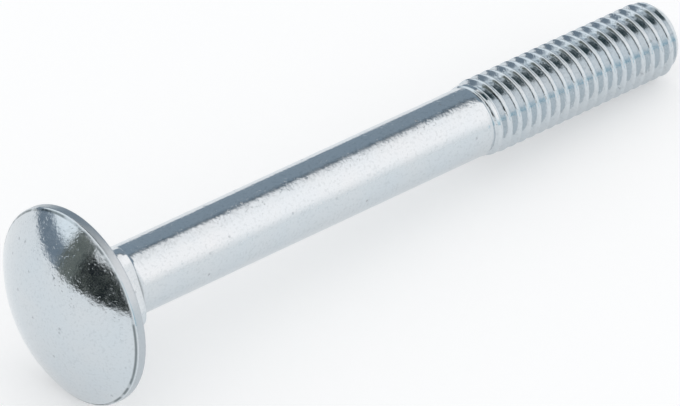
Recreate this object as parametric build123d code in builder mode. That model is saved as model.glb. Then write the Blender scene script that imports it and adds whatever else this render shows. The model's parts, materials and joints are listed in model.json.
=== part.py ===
from build123d import *
from math import asin, atan2, degrees, hypot
import os

# An M8 x 75 carriage bolt: a domed cup head, a square neck under it, a plain
# shank a little thinner than the thread, and a threaded end. It is forged and
# rolled from one rod, so it is one solid. The thread is a plain cylinder as
# wide as the crests, with the taper where the crests rise out of the shank.
#
# Millimetres. The bolt is built along +X, with the head's bearing face at
# x = 0 and the end of the thread at x = length. It is then laid down as it
# comes to rest: the rim of the head and the end of the thread touch the
# ground at z = 0, and the origin is the middle of its footprint.

# Overall
length = 73.5  # bearing face of the head to the end of the thread, 75 less tolerance
head_diameter = 19.8
head_height = 4.5

# Head
rim_height = 1.0  # between the dome and the bearing face
dome_edge_radius = 0.35
rim_edge_radius = 0.25

# Square neck
neck_across_flats = 7.85
neck_length = 4.7
neck_corner_radius = 1.55
neck_end_drop = 0.6  # the corners end this far short of the flats
neck_turn = -30.0  # degrees from two flats facing straight up and down

# Shank and thread
shank_diameter = 7.05
thread_diameter = 7.76
thread_length = 23.2  # at full depth, with the chamfered end
runout_length = 1.8  # the crests rise out of the shank over this length
tip_diameter = 6.3
tip_chamfer_length = 0.95

# Worked out from the above
head_radius = head_diameter / 2
shank_radius = shank_diameter / 2
crest_radius = thread_diameter / 2
tip_radius = tip_diameter / 2
runout_end = length - thread_length
runout_start = runout_end - runout_length
chamfer_start = length - tip_chamfer_length

# Head, shank and thread are turned from one profile.
with BuildPart() as turned:
    with BuildSketch(Plane.XZ):
        with BuildLine():
            dome = TangentArc((-head_height, 0), (-rim_height, head_radius), tangent=(0, 1))
            Polyline(
                dome @ 1,
                (0, head_radius),
                (0, shank_radius),
                (runout_start, shank_radius),
                (runout_end, crest_radius),
                (chamfer_start, crest_radius),
                (length, tip_radius),
                (length, 0),
                dome @ 0,
            )
        outline = make_face()
        rim_corners = outline.vertices().group_by(Axis.Y)[-1].sort_by(Axis.X)
        fillet(rim_corners[0], dome_edge_radius)
        rim_corners = outline.vertices().group_by(Axis.Y)[-1].sort_by(Axis.X)
        fillet(rim_corners[-1], rim_edge_radius)
    revolve(axis=Axis.X)

# Square neck. A shallow cone turned on its end leaves the corners shorter.
with BuildPart() as neck:
    with BuildSketch(Plane.YZ):
        RectangleRounded(neck_across_flats, neck_across_flats, neck_corner_radius, rotation=neck_turn)
    extrude(amount=neck_length)
    with BuildSketch(Plane.XZ):
        flat_radius = neck_across_flats / 2
        corner_radius = flat_radius * hypot(1, 1)
        with BuildLine():
            Polyline(
                (0, 0),
                (0, corner_radius),
                (neck_length - neck_end_drop, corner_radius),
                (neck_length, flat_radius),
                (neck_length, 0),
                close=True,
            )
        make_face()
    revolve(axis=Axis.X, mode=Mode.INTERSECT)

with BuildPart() as bolt:
    add(turned.part)
    add(neck.part)

# Lying down, the axis slopes so that one line touches the head's rounded rim
# and the crest of the thread where the end chamfer starts.
rim_edge_drop = head_radius - rim_edge_radius - crest_radius
rim_edge_to_crest = hypot(chamfer_start + rim_edge_radius, rim_edge_drop)
tilt = degrees(
    atan2(rim_edge_drop, chamfer_start + rim_edge_radius)
    + asin(rim_edge_radius / rim_edge_to_crest)
)
with BuildPart() as tilted:
    add(bolt.part, rotation=(0, tilt, 0))

with BuildPart() as carriage_bolt:
    footprint = tilted.part.bounding_box()
    with Locations((-footprint.center().X, 0, -footprint.min.Z)):
        add(tilted.part)

print("tilt", tilt, "lift", -footprint.min.Z, "shift", -footprint.center().X)
print("valid", carriage_bolt.part.is_valid, "volume", carriage_bolt.part.volume)
os.makedirs("parts", exist_ok=True)
carriage_bolt.part.label = "carriage_bolt"
export_step(carriage_bolt.part, "parts/carriage_bolt.step")
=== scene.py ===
import json
from math import asin, atan2, cos, pi, radians, sin, sqrt, tan

import bpy
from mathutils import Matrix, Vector


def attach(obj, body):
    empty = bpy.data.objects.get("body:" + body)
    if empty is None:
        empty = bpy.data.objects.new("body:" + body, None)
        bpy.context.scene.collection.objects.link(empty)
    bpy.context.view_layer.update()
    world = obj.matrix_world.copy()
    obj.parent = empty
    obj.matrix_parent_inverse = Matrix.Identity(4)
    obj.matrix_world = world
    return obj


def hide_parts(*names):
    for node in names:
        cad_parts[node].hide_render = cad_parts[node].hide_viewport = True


# A zinc-plated M8 x 75 carriage bolt lying on its side. Geometry Nodes turn
# its outline into a round blank, forge the square neck and roll the thread.
# Everything is in metres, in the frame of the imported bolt.

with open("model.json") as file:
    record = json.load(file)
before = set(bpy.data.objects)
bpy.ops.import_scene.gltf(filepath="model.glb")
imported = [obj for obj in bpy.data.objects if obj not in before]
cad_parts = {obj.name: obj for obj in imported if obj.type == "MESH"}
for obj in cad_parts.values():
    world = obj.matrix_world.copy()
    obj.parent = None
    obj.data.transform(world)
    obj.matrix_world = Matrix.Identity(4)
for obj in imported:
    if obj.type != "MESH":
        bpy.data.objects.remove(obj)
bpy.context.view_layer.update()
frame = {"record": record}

MM = 0.001

# Sizes of the bolt along its own axis, from the bearing face of the head
LENGTH = 73.5 * MM
HEAD_RADIUS = 9.9 * MM
HEAD_HEIGHT = 4.49 * MM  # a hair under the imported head, so that the dome stays inside it
RIM_HEIGHT = 1.0 * MM
DOME_EDGE_RADIUS = 0.35 * MM
RIM_EDGE_RADIUS = 0.25 * MM
NECK_HALF_WIDTH = 3.925 * MM
NECK_LENGTH = 4.7 * MM
NECK_CORNER_RADIUS = 1.55 * MM
NECK_END_DROP = 0.6 * MM
NECK_EDGE_RADIUS = 0.12 * MM
NECK_TURN = radians(-30)
SHANK_RADIUS = 3.525 * MM
CREST_RADIUS = 3.88 * MM
PITCH = 1.25 * MM
THREAD_DEPTH = 0.6134 * PITCH
RUNOUT_START = 48.5 * MM
RUNOUT_END = 50.3 * MM
TIP_RADIUS = 3.15 * MM
TIP_CHAMFER = 0.95 * MM
TIP_DISH = 0.25 * MM
CREST_TURN = 32.0 / 360  # turns the crest has gone past straight down at the chamfer

COLUMNS = 128  # faces round the bolt
ROWS_PER_PITCH = 24

# The bearing face's centre and the bolt's axis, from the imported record
record_mounts = {mount["name"]: mount for mount in frame["record"]["mounts"]}
thread_mount = record_mounts["thread"]
axis = Vector(thread_mount["axis"])
tilt = atan2(-axis.z, axis.x)
thread_middle = (RUNOUT_END + LENGTH - TIP_CHAMFER) / 2
bearing_centre = Vector(thread_mount["pos_m"]) - axis * thread_middle


# ---------------------------------------------------------------- outline

def arc(centre_x, centre_r, radius, start, end, steps):
    """Points of an arc in the outline's plane, angles from the -X direction."""
    points = []
    for step in range(steps + 1):
        angle = start + (end - start) * step / steps
        points.append((centre_x - radius * cos(angle), centre_r + radius * sin(angle)))
    return points


def straight(start, end, steps):
    """Points along a straight part of the outline, without its first."""
    return [
        (start[0] + (end[0] - start[0]) * step / steps, start[1] + (end[1] - start[1]) * step / steps)
        for step in range(1, steps + 1)
    ]


def outline_points():
    """Outline of the round blank as (distance along the axis, radius) pairs."""
    cap_height = HEAD_HEIGHT - RIM_HEIGHT
    dome_radius = (HEAD_RADIUS**2 + cap_height**2) / (2 * cap_height)
    dome_centre = -HEAD_HEIGHT + dome_radius
    edge_reach = dome_radius - DOME_EDGE_RADIUS
    edge_r = HEAD_RADIUS - DOME_EDGE_RADIUS
    edge_x = dome_centre - sqrt(edge_reach**2 - edge_r**2)
    edge_angle = asin(edge_r / edge_reach)
    rim_r = HEAD_RADIUS - RIM_EDGE_RADIUS

    points = arc(dome_centre, 0, dome_radius, 0, edge_angle, 44)
    points += arc(edge_x, edge_r, DOME_EDGE_RADIUS, edge_angle, pi / 2, 5)[1:]
    points += straight(points[-1], (-RIM_EDGE_RADIUS, HEAD_RADIUS), 4)
    points += arc(-RIM_EDGE_RADIUS, rim_r, RIM_EDGE_RADIUS, pi / 2, pi, 5)[1:]
    face_inner = (0.0, NECK_HALF_WIDTH * 1.32)
    points += straight(points[-1], face_inner, 8)
    points += straight(face_inner, (0.0, NECK_HALF_WIDTH), 1)
    neck_end = NECK_LENGTH - NECK_EDGE_RADIUS
    points += straight(points[-1], (neck_end, NECK_HALF_WIDTH), 8)
    points += arc(neck_end, NECK_HALF_WIDTH - NECK_EDGE_RADIUS, NECK_EDGE_RADIUS, pi / 2, pi, 4)[1:]
    points += straight(points[-1], (NECK_LENGTH, SHANK_RADIUS), 2)
    points += straight(points[-1], (RUNOUT_START, SHANK_RADIUS), 60)
    row_step = PITCH / ROWS_PER_PITCH
    points += straight(
        points[-1],
        (RUNOUT_END, CREST_RADIUS),
        round((RUNOUT_END - RUNOUT_START) / row_step),
    )
    chamfer_start = LENGTH - TIP_CHAMFER
    points += straight(
        points[-1],
        (chamfer_start, CREST_RADIUS),
        round((chamfer_start - RUNOUT_END) / row_step),
    )
    points += straight(points[-1], (LENGTH, TIP_RADIUS), round(TIP_CHAMFER / row_step))
    dish_radius = (TIP_RADIUS**2 + TIP_DISH**2) / (2 * TIP_DISH)
    dish_angle = asin(TIP_RADIUS / dish_radius)
    dish = arc(LENGTH - TIP_DISH + dish_radius, 0, dish_radius, dish_angle, 0, 10)
    points += dish[1:]
    return points


# ---------------------------------------------------------- node building

class Nodes:
    """Adds nodes to a tree and joins them, so that a formula reads as one."""

    def __init__(self, tree):
        self.tree = tree

    def add(self, kind, **settings):
        node = self.tree.nodes.new(kind)
        for name, value in settings.items():
            setattr(node, name, value)
        return node

    def join(self, value, socket):
        """Joins an output to a socket, or sets the socket to a number."""
        if isinstance(value, bpy.types.NodeSocket):
            self.tree.links.new(value, socket)
        else:
            socket.default_value = value

    def math(self, operation, *values, clamp=False):
        node = self.add("ShaderNodeMath", operation=operation, use_clamp=clamp)
        for socket, value in zip(node.inputs, values):
            self.join(value, socket)
        return node.outputs[0]

    def ramp(self, value, low, high, to_low=0.0, to_high=1.0, kind="SMOOTHSTEP"):
        node = self.add("ShaderNodeMapRange", interpolation_type=kind)
        for name, given in (
            ("Value", value),
            ("From Min", low),
            ("From Max", high),
            ("To Min", to_low),
            ("To Max", to_high),
        ):
            self.join(given, node.inputs[name])
        return node.outputs[0]

    def blend(self, amount, low, high):
        """Mixes two colours."""
        mix = self.add("ShaderNodeMix", data_type="RGBA")
        self.join(amount, mix.inputs["Factor"])
        self.join(low, mix.inputs[6])
        self.join(high, mix.inputs[7])
        return mix.outputs[2]


def bolt_tree(material):
    """Geometry Nodes that turn, forge and roll the bolt from its outline."""
    tree = bpy.data.node_groups.new("forge_and_roll_bolt", "GeometryNodeTree")
    face = tree.interface
    face.new_socket("Geometry", in_out="INPUT", socket_type="NodeSocketGeometry")
    sizes = {
        "Columns": ("NodeSocketInt", COLUMNS),
        "Neck half width": ("NodeSocketFloat", NECK_HALF_WIDTH),
        "Neck length": ("NodeSocketFloat", NECK_LENGTH),
        "Neck corner radius": ("NodeSocketFloat", NECK_CORNER_RADIUS),
        "Neck end drop": ("NodeSocketFloat", NECK_END_DROP),
        "Neck turn": ("NodeSocketFloat", NECK_TURN),
        "Shank radius": ("NodeSocketFloat", SHANK_RADIUS),
        "Crest radius": ("NodeSocketFloat", CREST_RADIUS),
        "Pitch": ("NodeSocketFloat", PITCH),
        "Thread depth": ("NodeSocketFloat", THREAD_DEPTH),
        "Run-out start": ("NodeSocketFloat", RUNOUT_START),
        "Run-out end": ("NodeSocketFloat", RUNOUT_END),
        "Chamfer start": ("NodeSocketFloat", LENGTH - TIP_CHAMFER),
        "Crest turn": ("NodeSocketFloat", CREST_TURN),
        "Tilt": ("NodeSocketFloat", tilt),
        "Unevenness": ("NodeSocketFloat", 0.02 * MM),
    }
    for name, (kind, _) in sizes.items():
        face.new_socket(name, in_out="INPUT", socket_type=kind)
    face.new_socket("Bearing centre", in_out="INPUT", socket_type="NodeSocketVector")
    face.new_socket("Geometry", in_out="OUTPUT", socket_type="NodeSocketGeometry")
    n = Nodes(tree)
    given = n.add("NodeGroupInput").outputs
    out = n.add("NodeGroupOutput")

    # A grid with a row for each point of the outline, and its place on it
    counted = n.add("GeometryNodeAttributeDomainSize", component="MESH")
    n.join(given["Geometry"], counted.inputs["Geometry"])
    verts_round = n.math("ADD", given["Columns"], 1)
    grid = n.add("GeometryNodeMeshGrid")
    n.join(counted.outputs["Point Count"], grid.inputs["Vertices X"])
    n.join(verts_round, grid.inputs["Vertices Y"])
    index = n.add("GeometryNodeInputIndex").outputs[0]
    row = n.math("FLOOR", n.math("DIVIDE", n.math("ADD", index, 0.5), verts_round))
    column = n.math("SUBTRACT", index, n.math("MULTIPLY", row, verts_round))
    around = n.math("MULTIPLY", n.math("DIVIDE", column, given["Columns"]), 2 * pi)
    outline = n.add("GeometryNodeSampleIndex", data_type="FLOAT_VECTOR", domain="POINT")
    n.join(given["Geometry"], outline.inputs["Geometry"])
    n.join(n.add("GeometryNodeInputPosition").outputs[0], outline.inputs["Value"])
    n.join(row, outline.inputs["Index"])
    place = n.add("ShaderNodeSeparateXYZ")
    n.join(outline.outputs[0], place.inputs[0])
    along = place.outputs["X"]
    radius = place.outputs["Z"]

    # Square neck: the radius of a rounded square, and the corners cut short
    quarter = pi / 2
    from_flat = n.math("SUBTRACT", around, given["Neck turn"])
    from_flat = n.math(
        "SUBTRACT",
        n.math("FLOORED_MODULO", n.math("ADD", from_flat, quarter / 2), quarter),
        quarter / 2,
    )
    from_flat = n.math("ABSOLUTE", from_flat)
    flat = n.math("DIVIDE", given["Neck half width"], n.math("COSINE", from_flat))
    inset = n.math("SUBTRACT", given["Neck half width"], given["Neck corner radius"])
    corner_reach = n.math("MULTIPLY", inset, sqrt(2))
    from_corner = n.math("SUBTRACT", from_flat, quarter / 2)
    across = n.math("MULTIPLY", corner_reach, n.math("SINE", from_corner))
    chord = n.math(
        "SUBTRACT",
        n.math("POWER", given["Neck corner radius"], 2),
        n.math("POWER", across, 2),
    )
    rounded = n.math(
        "ADD",
        n.math("MULTIPLY", corner_reach, n.math("COSINE", from_corner)),
        n.math("SQRT", n.math("MAXIMUM", chord, 0)),
    )
    in_corner = n.math(
        "GREATER_THAN",
        n.math("TANGENT", from_flat),
        n.math("DIVIDE", inset, given["Neck half width"]),
    )
    square = n.math(
        "ADD",
        n.math("MULTIPLY", flat, n.math("SUBTRACT", 1, in_corner)),
        n.math("MULTIPLY", rounded, in_corner),
    )
    stretch = n.math("DIVIDE", square, given["Neck half width"])
    full_corner = n.math("MULTIPLY", given["Neck half width"], sqrt(2) - 1)
    over_flat = n.math("DIVIDE", n.math("SUBTRACT", square, given["Neck half width"]), full_corner)
    shortening = n.math(
        "DIVIDE",
        n.math("MULTIPLY", over_flat, given["Neck end drop"]),
        given["Neck length"],
    )
    on_neck = n.math(
        "MULTIPLY",
        n.math("GREATER_THAN", along, -0.001 * MM),
        n.math("LESS_THAN", along, n.math("ADD", given["Neck length"], 0.001 * MM)),
    )
    on_neck = n.math(
        "MULTIPLY",
        on_neck,
        n.math("GREATER_THAN", radius, n.math("ADD", given["Shank radius"], 0.15 * MM)),
    )
    on_neck = n.math(
        "MULTIPLY",
        on_neck,
        n.math("LESS_THAN", radius, n.math("ADD", given["Neck half width"], 0.001 * MM)),
    )
    neck_radius = n.math(
        "MULTIPLY",
        radius,
        n.math("ADD", 1, n.math("MULTIPLY", on_neck, n.math("SUBTRACT", stretch, 1))),
    )
    neck_along = n.math("MULTIPLY", along, n.math("SUBTRACT", 1, n.math("MULTIPLY", on_neck, shortening)))

    # Rolled thread: flanks at 30 degrees, rounded crest and root
    crest_at_down = n.math(
        "ADD",
        n.math("DIVIDE", n.math("SUBTRACT", along, given["Chamfer start"]), given["Pitch"]),
        given["Crest turn"],
    )
    turns = n.math("SUBTRACT", crest_at_down, n.math("DIVIDE", n.math("ADD", around, quarter), 2 * pi))
    from_crest = n.math(
        "MULTIPLY",
        n.math("ABSOLUTE", n.math("SUBTRACT", turns, n.math("ROUND", turns))),
        given["Pitch"],
    )
    half_crest = n.math("DIVIDE", given["Pitch"], 16)
    flank = n.math(
        "ADD",
        given["Crest radius"],
        n.math("MULTIPLY", n.math("SUBTRACT", half_crest, from_crest), 1 / tan(radians(30))),
    )
    crest_round = n.math("DIVIDE", given["Pitch"], 8.5)
    root_round = n.math("DIVIDE", given["Pitch"], 5)
    root = n.math("SUBTRACT", given["Crest radius"], given["Thread depth"])
    profile = n.math(
        "SMOOTH_MAX",
        root,
        n.math("SMOOTH_MIN", given["Crest radius"], flank, crest_round),
        root_round,
    )
    runout_core = n.ramp(along, given["Run-out start"], given["Run-out end"], given["Shank radius"], root)
    thread = n.math("MINIMUM", radius, n.math("MAXIMUM", profile, runout_core))
    on_thread = n.math("GREATER_THAN", along, given["Run-out start"])
    final_radius = n.math(
        "ADD",
        n.math("MULTIPLY", neck_radius, n.math("SUBTRACT", 1, on_thread)),
        n.math("MULTIPLY", thread, on_thread),
    )

    # A forged surface is never quite even: it dips inwards by a hair
    upright = n.add("ShaderNodeCombineXYZ")
    n.join(neck_along, upright.inputs["X"])
    n.join(n.math("MULTIPLY", final_radius, n.math("COSINE", around)), upright.inputs["Y"])
    n.join(n.math("MULTIPLY", final_radius, n.math("SINE", around)), upright.inputs["Z"])
    waves = n.add("ShaderNodeTexNoise", noise_dimensions="3D")
    n.join(upright.outputs[0], waves.inputs["Vector"])
    waves.inputs["Scale"].default_value = 260.0
    waves.inputs["Detail"].default_value = 2.0
    dip = n.math("MULTIPLY", waves.outputs[0], given["Unevenness"])
    dipped = n.math(
        "MAXIMUM",
        n.math("SUBTRACT", final_radius, n.math("MINIMUM", dip, n.math("MULTIPLY", final_radius, 0.02))),
        0,
    )
    upright = n.add("ShaderNodeCombineXYZ")
    n.join(neck_along, upright.inputs["X"])
    n.join(n.math("MULTIPLY", dipped, n.math("COSINE", around)), upright.inputs["Y"])
    n.join(n.math("MULTIPLY", dipped, n.math("SINE", around)), upright.inputs["Z"])

    # Set the grid on the bolt's surface, close it, and lay the bolt down
    shaped = n.add("GeometryNodeSetPosition")
    n.join(grid.outputs["Mesh"], shaped.inputs["Geometry"])
    n.join(upright.outputs[0], shaped.inputs["Position"])
    stored = n.add("GeometryNodeStoreNamedAttribute", data_type="FLOAT_VECTOR", domain="POINT")
    stored.inputs["Name"].default_value = "on_bolt"
    n.join(shaped.outputs[0], stored.inputs["Geometry"])
    n.join(n.add("GeometryNodeInputPosition").outputs[0], stored.inputs["Value"])
    closed = n.add("GeometryNodeMergeByDistance")
    n.join(stored.outputs[0], closed.inputs["Geometry"])
    closed.inputs["Distance"].default_value = 0.0005 * MM
    turned = n.add("ShaderNodeCombineXYZ")
    n.join(given["Tilt"], turned.inputs["Y"])
    laid = n.add("GeometryNodeTransform")
    n.join(closed.outputs[0], laid.inputs["Geometry"])
    n.join(given["Bearing centre"], laid.inputs["Translation"])
    n.join(turned.outputs[0], laid.inputs["Rotation"])
    smooth = n.add("GeometryNodeSetShadeSmooth")
    n.join(laid.outputs[0], smooth.inputs["Geometry"])
    realized = n.add("GeometryNodeRealizeInstances")
    n.join(smooth.outputs[0], realized.inputs["Geometry"])
    coated = n.add("GeometryNodeSetMaterial")
    coated.inputs["Material"].default_value = material
    n.join(realized.outputs[0], coated.inputs["Geometry"])
    n.join(coated.outputs[0], out.inputs["Geometry"])
    return tree, {name: value for name, (_, value) in sizes.items()}


def make_bolt(material):
    """The bolt as one plain mesh in its place."""
    points = outline_points()
    chain = bpy.data.meshes.new("bolt_outline")
    edges = [(i, i + 1) for i in range(len(points) - 1)]
    chain.from_pydata([(x, 0.0, r) for x, r in points], edges, [])
    carrier = bpy.data.objects.new("bolt_outline", chain)
    bpy.context.collection.objects.link(carrier)
    tree, values = bolt_tree(material)
    values["Bearing centre"] = tuple(bearing_centre)
    modifier = carrier.modifiers.new("forge_and_roll", "NODES")
    modifier.node_group = tree
    for socket in tree.interface.items_tree:
        if socket.item_type == "SOCKET" and socket.in_out == "INPUT" and socket.name in values:
            modifier[socket.identifier] = values[socket.name]
    carrier.update_tag()
    graph = bpy.context.evaluated_depsgraph_get()
    mesh = bpy.data.meshes.new_from_object(carrier.evaluated_get(graph), depsgraph=graph)
    mesh.name = "carriage_bolt_body"
    bolt = bpy.data.objects.new("carriage_bolt_body", mesh)
    bpy.context.collection.objects.link(bolt)
    bpy.data.objects.remove(carrier)
    bpy.data.meshes.remove(chain)
    return bolt


# -------------------------------------------------------------- materials

# Relief of the plating, in millimetres
GRAIN_HEIGHT = 0.0085
SWELL_HEIGHT = 0.012
STREAK_HEIGHT = 0.0035
SPECK_HEIGHT = 0.006
PIT_DEPTH = 0.006


def zinc_material():
    """Bright zinc plating over forged steel: fine grain, pits and a dull rim, with a painted dark
    reflection line round the dome's edge.
    """
    material = bpy.data.materials.new("bright_zinc")
    material.use_nodes = True
    n = Nodes(material.node_tree)
    shader = material.node_tree.nodes["Principled BSDF"]
    shader.inputs["Metallic"].default_value = 1.0

    def noise(vector, scale, detail=2.0):
        texture = n.add("ShaderNodeTexNoise", noise_dimensions="3D")
        n.join(vector, texture.inputs["Vector"])
        texture.inputs["Scale"].default_value = scale
        texture.inputs["Detail"].default_value = detail
        return texture.outputs[0]

    # Place on the upright bolt, in millimetres
    stored = n.add("ShaderNodeAttribute", attribute_name="on_bolt", attribute_type="GEOMETRY")
    in_mm = n.add("ShaderNodeVectorMath", operation="SCALE")
    n.join(stored.outputs["Vector"], in_mm.inputs[0])
    in_mm.inputs["Scale"].default_value = 1000.0
    place = in_mm.outputs[0]
    parts = n.add("ShaderNodeSeparateXYZ")
    n.join(place, parts.inputs[0])
    along = parts.outputs["X"]
    radius = n.math(
        "SQRT",
        n.math("ADD", n.math("POWER", parts.outputs["Y"], 2), n.math("POWER", parts.outputs["Z"], 2)),
    )
    drawn = n.add("ShaderNodeVectorMath", operation="MULTIPLY")
    n.join(place, drawn.inputs[0])
    drawn.inputs[1].default_value = (0.14, 1.0, 1.0)

    grain = noise(place, 3.6, 3.0)
    swell = noise(place, 0.75)
    streaks = noise(drawn.outputs[0], 3.2, 2.0)
    tint = noise(place, 0.22)
    cells = n.add("ShaderNodeTexVoronoi", voronoi_dimensions="3D")
    n.join(place, cells.inputs["Vector"])
    cells.inputs["Scale"].default_value = 0.5
    pit = n.ramp(cells.outputs["Distance"], 0.05, 0.11, 1.0, 0.0)
    speck = n.ramp(noise(place, 3.1, 1.0), 0.60, 0.70)
    speck = n.math("MULTIPLY", speck, n.ramp(noise(place, 0.5), 0.42, 0.60))

    on_head = n.math("LESS_THAN", along, 0.02)
    on_rim = n.math("MULTIPLY", n.ramp(radius, 9.72, 9.84), n.ramp(along, -1.0, -0.9))
    on_rim = n.math("MULTIPLY", on_rim, on_head)
    neck_edge = n.math(
        "MULTIPLY",
        n.ramp(n.math("ABSOLUTE", n.math("SUBTRACT", along, 4.6)), 0.02, 0.16, 1.0, 0.0),
        n.ramp(radius, 3.55, 3.7),
    )

    clean = n.blend(tint, (0.60, 0.67, 0.72, 1), (0.66, 0.69, 0.71, 1))
    grained = n.blend(n.ramp(grain, 0.30, 0.50, 0.24, 0.0), clean, (0.40, 0.45, 0.48, 1))
    pitted = n.blend(n.math("MULTIPLY", pit, 0.4), grained, (0.30, 0.33, 0.35, 1))
    rimmed = n.blend(n.math("MULTIPLY", on_rim, 0.45), pitted, (0.36, 0.40, 0.43, 1))
    # Painted reflection: a thin, broken dark line round the dome's edge, just inside the rim, stands in
    # for the dark side by the camera mirrored in the curved edge
    dome_edge_painted_reflection = n.math(
        "MULTIPLY",
        n.ramp(n.math("ABSOLUTE", n.math("SUBTRACT", radius, 9.70)), 0.03, 0.15, 1.0, 0.0),
        n.ramp(along, -1.02, -1.0, 1.0, 0.0),
    )
    rimmed = n.blend(
        n.math("MULTIPLY", dome_edge_painted_reflection, n.ramp(noise(place, 0.9), 0.38, 0.55, 0.25, 0.85)),
        rimmed,
        (0.13, 0.16, 0.17, 1),
    )
    edged = n.blend(n.math("MULTIPLY", neck_edge, 0.75), rimmed, (0.20, 0.23, 0.24, 1))
    n.join(edged, shader.inputs["Base Color"])

    shine = n.ramp(noise(place, 1.3), 0.3, 0.7, 0.07, 0.15)
    rough = n.math("MAXIMUM", shine, n.math("MULTIPLY", on_rim, 0.34))
    n.join(n.math("MAXIMUM", rough, n.math("MULTIPLY", pit, 0.35)), shader.inputs["Roughness"])

    height = n.math("MULTIPLY", grain, GRAIN_HEIGHT)
    height = n.math("ADD", height, n.math("MULTIPLY", swell, SWELL_HEIGHT))
    height = n.math("ADD", height, n.math("MULTIPLY", streaks, STREAK_HEIGHT))
    height = n.math("ADD", height, n.math("MULTIPLY", speck, SPECK_HEIGHT))
    height = n.math("SUBTRACT", height, n.math("MULTIPLY", pit, PIT_DEPTH))
    bump = n.add("ShaderNodeBump")
    n.join(height, bump.inputs["Height"])
    bump.inputs["Distance"].default_value = 1 * MM
    n.join(bump.outputs[0], shader.inputs["Normal"])
    return material


def floor_material():
    material = bpy.data.materials.new("pale_floor")
    material.use_nodes = True
    n = Nodes(material.node_tree)
    shader = material.node_tree.nodes["Principled BSDF"]
    shader.inputs["Base Color"].default_value = (0.75, 0.75, 0.75, 1)
    shader.inputs["Roughness"].default_value = 0.9
    shader.inputs["Specular IOR Level"].default_value = 0.0
    rays = n.add("ShaderNodeLightPath")
    shader.inputs["Emission Color"].default_value = (1, 1, 1, 1)
    seen = n.math(
        "MAXIMUM",
        rays.outputs["Is Camera Ray"],
        n.math("MAXIMUM", rays.outputs["Is Glossy Ray"], rays.outputs["Is Transmission Ray"]),
    )
    n.join(n.math("MULTIPLY", seen, 0.34), shader.inputs["Emission Strength"])
    return material


zinc = zinc_material()
bolt = make_bolt(zinc)
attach(bolt, "root")
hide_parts("carriage_bolt")

# ------------------------------------------------------------------ stage

floor_mesh = bpy.data.meshes.new("floor")
half = 1.5
floor_mesh.from_pydata(
    [(-half, -half, 0), (half, -half, 0), (half, half, 0), (-half, half, 0)],
    [],
    [(0, 1, 2, 3)],
)
floor = bpy.data.objects.new("floor", floor_mesh)
bpy.context.collection.objects.link(floor)
floor_mesh.materials.append(floor_material())

def srgb(red, green, blue):
    """A displayed colour, 0 to 255, as linear light."""
    linear = []
    for level in (red, green, blue):
        part = level / 255
        linear.append(part / 12.92 if part <= 0.04045 else ((part + 0.055) / 1.055) ** 2.4)
    return linear


ZINC = (0.63, 0.68, 0.72)


def lit(red, green, blue):
    """Light that zinc reflects as the given displayed colour."""
    return tuple(part / zinc for part, zinc in zip(srgb(red, green, blue), ZINC)) + (1.0,)


# Panels round the bolt, as degrees of turn from +X and of height, later ones
# in front: centre turn, centre height, half width, half height, slant, softness
PANELS = {
    "front_blue": (-88, 22, 24, 24, 0, 4, lit(150, 184, 200)),
    "dark_ceiling": (30, 75, 62, 19, 0, 3, lit(30, 52, 58)),
    "front_softbox": (-20, 34, 75, 22, 0, 14, lit(236, 239, 243)),
    "slate_backdrop": (42, 13.5, 40, 35, 0, 2, lit(118, 134, 148)),
    "backdrop_hem": (42, 46, 40, 2.4, 0, 1.5, lit(84, 97, 108)),
    "back_light": (118, 24, 30, 28, 0, 3, lit(210, 222, 231)),
    "back_shelf": (118, 4, 38, 8, 7, 2.5, lit(103, 118, 132)),
    "dark_door": (157, 11, 11, 21, 0, 3, lit(84, 92, 92)),
    "dark_curtain": (174, 4, 12, 21, 0, 2.5, lit(14, 20, 26)),
    "dark_curtain_side": (186, 2, 17.5, 18, 39, 2.5, lit(20, 27, 31)),
}


MOTTLED = {"dark_door", "dark_curtain", "dark_curtain_side"}  # rough cloth with paler flecks
FLECK = lit(128, 136, 130)


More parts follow.
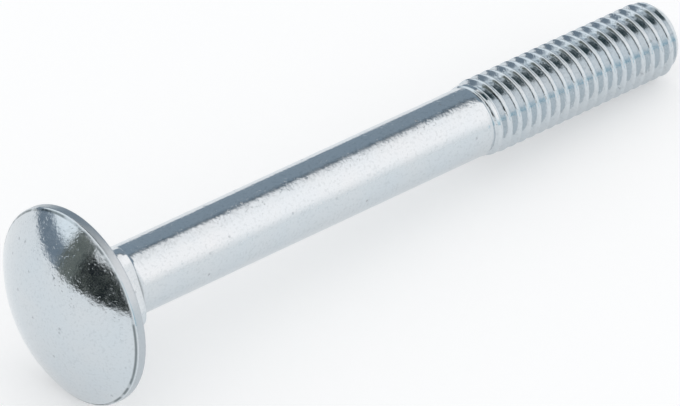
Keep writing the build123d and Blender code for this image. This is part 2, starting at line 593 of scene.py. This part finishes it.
def studio_light(world):
    """White all round, with the panels standing in front of it for the metal."""
    tree = world.node_tree
    n = Nodes(tree)
    for node in list(tree.nodes):
        tree.nodes.remove(node)
    direction = n.add("ShaderNodeTexCoord").outputs["Generated"]
    parts = n.add("ShaderNodeSeparateXYZ")
    n.join(direction, parts.inputs[0])
    turn = n.math("DEGREES", n.math("ARCTAN2", parts.outputs["Y"], parts.outputs["X"]))
    height = n.math("DEGREES", n.math("ARCSINE", parts.outputs["Z"]))
    weave = n.add("ShaderNodeTexNoise", noise_dimensions="3D")
    n.join(direction, weave.inputs["Vector"])
    weave.inputs["Scale"].default_value = 26.0
    weave.inputs["Detail"].default_value = 3.0
    weave.inputs["Roughness"].default_value = 0.75
    fleck = n.ramp(weave.outputs[0], 0.55, 0.64)

    colour = (1.0, 1.0, 1.0, 1.0)
    for name, (at_turn, at_height, half_width, half_height, slant, soft, light) in PANELS.items():
        side = n.math("WRAP", n.math("SUBTRACT", turn, at_turn), 180, -180)
        rise = n.math("SUBTRACT", height, at_height)
        across = n.math(
            "ADD",
            n.math("MULTIPLY", side, cos(radians(slant))),
            n.math("MULTIPLY", rise, sin(radians(slant))),
        )
        up = n.math(
            "SUBTRACT",
            n.math("MULTIPLY", rise, cos(radians(slant))),
            n.math("MULTIPLY", side, sin(radians(slant))),
        )
        inside = n.math(
            "MULTIPLY",
            n.ramp(n.math("ABSOLUTE", across), half_width - soft, half_width + soft, 1.0, 0.0),
            n.ramp(n.math("ABSOLUTE", up), half_height - soft, half_height + soft, 1.0, 0.0),
        )
        shade = n.blend(fleck, light, FLECK) if name in MOTTLED else light
        colour = n.blend(inside, colour, shade)
    rays = n.add("ShaderNodeLightPath")
    plain = n.add("ShaderNodeMix", data_type="RGBA")
    n.join(
        n.math("MAXIMUM", rays.outputs["Is Glossy Ray"], rays.outputs["Is Transmission Ray"]),
        plain.inputs["Factor"],
    )
    plain.inputs[6].default_value = (0.86, 0.87, 0.88, 1)
    n.join(colour, plain.inputs[7])
    shown = n.add("ShaderNodeMix", data_type="RGBA")
    n.join(rays.outputs["Is Camera Ray"], shown.inputs["Factor"])
    n.join(plain.outputs[2], shown.inputs[6])
    shown.inputs[7].default_value = (1, 1, 1, 1)
    background = n.add("ShaderNodeBackground")
    n.join(shown.outputs[2], background.inputs["Color"])
    output = n.add("ShaderNodeOutputWorld")
    n.join(background.outputs[0], output.inputs["Surface"])


world = bpy.data.worlds.new("studio")
bpy.context.scene.world = world
world.use_nodes = True
studio_light(world)

# ----------------------------------------------------------------- camera

CAMERA_TURN = radians(-41.0)
CAMERA_HEIGHT = radians(39.26)
CAMERA_DISTANCE = 0.7326
SENSOR_WIDTH = 36.0
FOCAL_LENGTH = 417.8
AIM = Vector((-12.31, -11.5, 17.05)) * MM

camera_data = bpy.data.cameras.new("camera")
camera_data.sensor_width = SENSOR_WIDTH
camera_data.lens = FOCAL_LENGTH
camera = bpy.data.objects.new("camera", camera_data)
bpy.context.collection.objects.link(camera)
camera.rotation_euler = (pi / 2 - CAMERA_HEIGHT, 0, CAMERA_TURN)
backwards = camera.rotation_euler.to_matrix() @ Vector((0, 0, 1))
camera.location = AIM + backwards * CAMERA_DISTANCE
bpy.context.scene.camera = camera
bpy.context.scene.view_settings.view_transform = "Standard"
